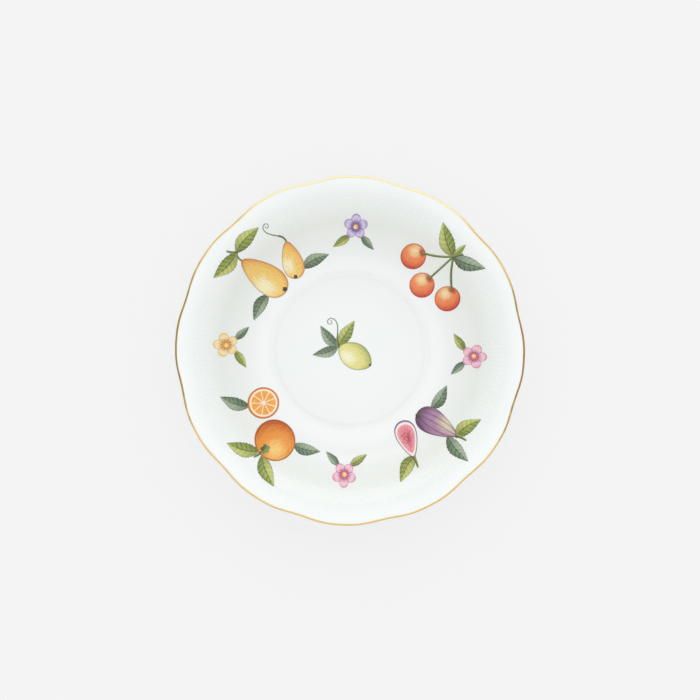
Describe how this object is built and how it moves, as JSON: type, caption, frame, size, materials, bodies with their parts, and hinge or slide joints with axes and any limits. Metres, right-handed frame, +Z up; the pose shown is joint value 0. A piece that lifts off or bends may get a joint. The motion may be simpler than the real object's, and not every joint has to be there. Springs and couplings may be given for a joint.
{
  "type": "fruit bowl",
  "caption": "Shallow porcelain fruit bowl on a low foot ring, with an S-shaped wall, a lobed gilt rim and raised enamel sprays of fruit and blossom on the inside.",
  "frame": {"origin": "middle of the foot ring, on the surface that the bowl stands on", "axes": "+Z up along the bowl's axis; +X through the crest of one rim lobe and the middle of a small blossom"},
  "size_m": [0.165, 0.165, 0.036],
  "materials": {
    "porcelain": "clear gloss glaze over cool white porcelain, bare on the foot's edge",
    "gilding": "burnished gold line",
    "leaf_green": "gloss enamel",
    "grey_green": "gloss enamel",
    "stem_green": "gloss enamel",
    "red": "gloss enamel",
    "yellow": "gloss enamel",
    "orange": "gloss enamel",
    "lilac": "gloss enamel",
    "pink": "gloss enamel",
    "lemon": "gloss enamel"
  },
  "bodies": {
    "root": {"bowl_body": "porcelain", "gilt_rim": "gilding", "lemon": "lemon", "lemon_leaf_1": "grey_green", "lemon_leaf_2": "grey_green", "lemon_leaf_3": "leaf_green", "cherry_1": "red", "cherry_2": "red", "cherry_3": "red", "cherry_stem_1": "stem_green", "cherry_stem_2": "stem_green", "cherry_stem_3": "stem_green", "cherry_leaf_1": "leaf_green", "cherry_leaf_2": "grey_green", "cherry_leaf_3": "leaf_green", "pear_1": "yellow", "pear_2": "yellow", "pear_stem_1": "stem_green", "pear_stem_2": "stem_green", "pear_leaf_1": "leaf_green", "pear_leaf_2": "leaf_green", "pear_leaf_3": "grey_green", "pear_leaf_4": "grey_green", "mandarin_whole": "orange", "mandarin_half": "orange", "mandarin_leaf_1": "leaf_green", "mandarin_leaf_2": "leaf_green", "mandarin_leaf_3": "grey_green", "mandarin_leaf_4": "grey_green", "fig_whole": "lilac", "fig_half": "pink", "fig_leaf_1": "leaf_green", "fig_leaf_2": "grey_green", "fig_leaf_3": "leaf_green", "fig_leaf_4": "grey_green", "blossom_1": "pink", "blossom_1_leaf_1": "leaf_green", "blossom_1_leaf_2": "grey_green", "blossom_2": "lilac", "blossom_2_leaf_1": "leaf_green", "blossom_2_leaf_2": "grey_green", "blossom_3": "yellow", "blossom_3_leaf_1": "leaf_green", "blossom_3_leaf_2": "grey_green", "blossom_4": "pink", "blossom_4_leaf_1": "leaf_green", "blossom_4_leaf_2": "grey_green"}
  },
  "joints": []
}
